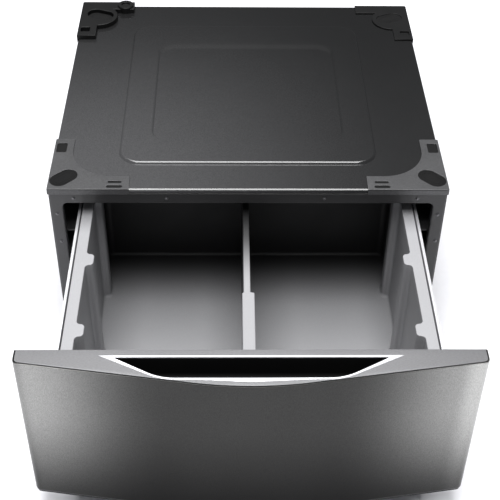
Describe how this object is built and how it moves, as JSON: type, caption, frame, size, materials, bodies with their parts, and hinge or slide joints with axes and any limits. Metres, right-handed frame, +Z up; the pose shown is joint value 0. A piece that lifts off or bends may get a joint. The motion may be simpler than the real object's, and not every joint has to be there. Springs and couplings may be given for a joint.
{
  "type": "laundry pedestal drawer",
  "caption": "Low steel stand for a front-load washer: stamped deck with corner foot brackets over one wide pull-out storage drawer on ball-bearing slides.",
  "frame": {"origin": "floor level under the middle of the bounding box, with the drawer open as at rest", "axes": "+X to the right seen from in front, +Y to the rear of the cabinet, +Z up; the drawer opens along -Y"},
  "size_m": [0.686, 1.073, 0.3558],
  "materials": {
    "deck_paint": "satin graphite paint on stamped steel",
    "body_paint": "satin dark graphite paint",
    "bracket_grey": "textured mid grey",
    "black_plastic": "moulded black",
    "rubber": "matt black",
    "zinc_steel": "zinc plated",
    "cage_steel": "plain",
    "tub_plastic": "light grey moulded",
    "graphite_metal": "metallic graphite, satin clear coat",
    "cap_silver": "silver grey, satin",
    "bright_trim": "polished"
  },
  "bodies": {
    "cabinet": {"top_deck": "deck_paint", "deck_brace_front": "body_paint", "deck_brace_rear": "body_paint", "side_panel_right": "body_paint", "side_panel_left": "body_paint", "back_panel": "body_paint", "front_frame": "body_paint", "base_pan": "body_paint", "corner_bracket_front_right": "bracket_grey", "corner_bracket_front_left": "bracket_grey", "corner_bracket_rear_right": "body_paint", "corner_bracket_rear_left": "black_plastic", "washer_foot_pad_front_right": "rubber", "washer_foot_pad_front_left": "rubber", "washer_foot_pad_rear_right": "rubber", "washer_foot_pad_rear_left": "rubber", "slide_support_right": "body_paint", "slide_support_left": "body_paint", "slide_outer_right": "zinc_steel", "slide_outer_left": "zinc_steel", "foot_plate_front_right": "zinc_steel", "foot_plate_front_left": "zinc_steel", "foot_plate_rear_right": "zinc_steel", "foot_plate_rear_left": "zinc_steel", "lock_nut_front_right": "zinc_steel", "lock_nut_front_left": "zinc_steel", "lock_nut_rear_right": "zinc_steel", "lock_nut_rear_left": "zinc_steel"},
    "drawer": {"drawer_tub": "tub_plastic", "drawer_divider": "tub_plastic", "drawer_side_right": "zinc_steel", "drawer_side_left": "zinc_steel", "slide_inner_right": "zinc_steel", "slide_inner_left": "zinc_steel", "cross_rail_front": "zinc_steel", "cross_rail_rear": "zinc_steel", "drawer_rear_rail": "zinc_steel", "front_skin": "graphite_metal", "front_top_cap": "cap_silver", "front_bottom_cap": "black_plastic", "front_backing": "body_paint", "handle_pocket": "black_plastic", "handle_trim": "bright_trim", "bumper_low_right": "rubber", "bumper_low_left": "rubber", "bumper_high_right": "rubber", "bumper_high_left": "rubber"},
    "middle_right": {"slide_middle_right": "zinc_steel"},
    "outer_cage_right": {"ball_cage_outer_right": "cage_steel"},
    "inner_cage_right": {"ball_cage_inner_right": "cage_steel"},
    "release_lever_right": {"release_lever_right": "black_plastic"},
    "levelling_foot_front_right": {"levelling_foot_front_right": "rubber"},
    "levelling_foot_rear_right": {"levelling_foot_rear_right": "rubber"},
    "middle_left": {"slide_middle_left": "zinc_steel"},
    "outer_cage_left": {"ball_cage_outer_left": "cage_steel"},
    "inner_cage_left": {"ball_cage_inner_left": "cage_steel"},
    "release_lever_left": {"release_lever_left": "black_plastic"},
    "levelling_foot_front_left": {"levelling_foot_front_left": "rubber"},
    "levelling_foot_rear_left": {"levelling_foot_rear_left": "rubber"}
  },
  "joints": [
    {"name": "drawer_slide", "type": "slide", "parent": "cabinet", "child": "drawer", "axis": [0, -1, 0], "range_m": [-0.367, 0.033]},
    {"name": "middle_right_slide", "type": "slide", "parent": "cabinet", "child": "middle_right", "axis": [0, -1, 0], "range_m": [-0.1845, 0.0175]},
    {"name": "outer_cage_right_slide", "type": "slide", "parent": "cabinet", "child": "outer_cage_right", "axis": [0, -1, 0], "range_m": [-0.09275, 0.00925]},
    {"name": "inner_cage_right_slide", "type": "slide", "parent": "cabinet", "child": "inner_cage_right", "axis": [0, -1, 0], "range_m": [-0.27625, 0.02575]},
    {"name": "release_lever_right_tip", "type": "hinge", "parent": "drawer", "child": "release_lever_right", "pos_m": [0.2942, -0.2105, 0.215], "axis": [1, 0, 0], "range_deg": [0, 8], "stiffness_Nm_per_rad": 0.05},
    {"name": "levelling_foot_front_right_screw", "type": "slide", "parent": "cabinet", "child": "levelling_foot_front_right", "axis": [0, 0, -1], "range_m": [-0.006, 0.012]},
    {"name": "levelling_foot_rear_right_screw", "type": "slide", "parent": "cabinet", "child": "levelling_foot_rear_right", "axis": [0, 0, -1], "range_m": [-0.006, 0.012]},
    {"name": "middle_left_slide", "type": "slide", "parent": "cabinet", "child": "middle_left", "axis": [0, -1, 0], "range_m": [-0.1845, 0.0175]},
    {"name": "outer_cage_left_slide", "type": "slide", "parent": "cabinet", "child": "outer_cage_left", "axis": [0, -1, 0], "range_m": [-0.09275, 0.00925]},
    {"name": "inner_cage_left_slide", "type": "slide", "parent": "cabinet", "child": "inner_cage_left", "axis": [0, -1, 0], "range_m": [-0.27625, 0.02575]},
    {"name": "release_lever_left_tip", "type": "hinge", "parent": "drawer", "child": "release_lever_left", "pos_m": [-0.2942, -0.2105, 0.215], "axis": [-1, 0, 0], "range_deg": [0, 8], "stiffness_Nm_per_rad": 0.05},
    {"name": "levelling_foot_front_left_screw", "type": "slide", "parent": "cabinet", "child": "levelling_foot_front_left", "axis": [0, 0, -1], "range_m": [-0.006, 0.012]},
    {"name": "levelling_foot_rear_left_screw", "type": "slide", "parent": "cabinet", "child": "levelling_foot_rear_left", "axis": [0, 0, -1], "range_m": [-0.006, 0.012]}
  ],
  "couplings": [
    {"joint": "middle_right_slide", "follows": "drawer_slide", "ratio": 0.5},
    {"joint": "outer_cage_right_slide", "follows": "drawer_slide", "ratio": 0.25},
    {"joint": "inner_cage_right_slide", "follows": "drawer_slide", "ratio": 0.75},
    {"joint": "middle_left_slide", "follows": "drawer_slide", "ratio": 0.5},
    {"joint": "outer_cage_left_slide", "follows": "drawer_slide", "ratio": 0.25},
    {"joint": "inner_cage_left_slide", "follows": "drawer_slide", "ratio": 0.75}
  ]
}
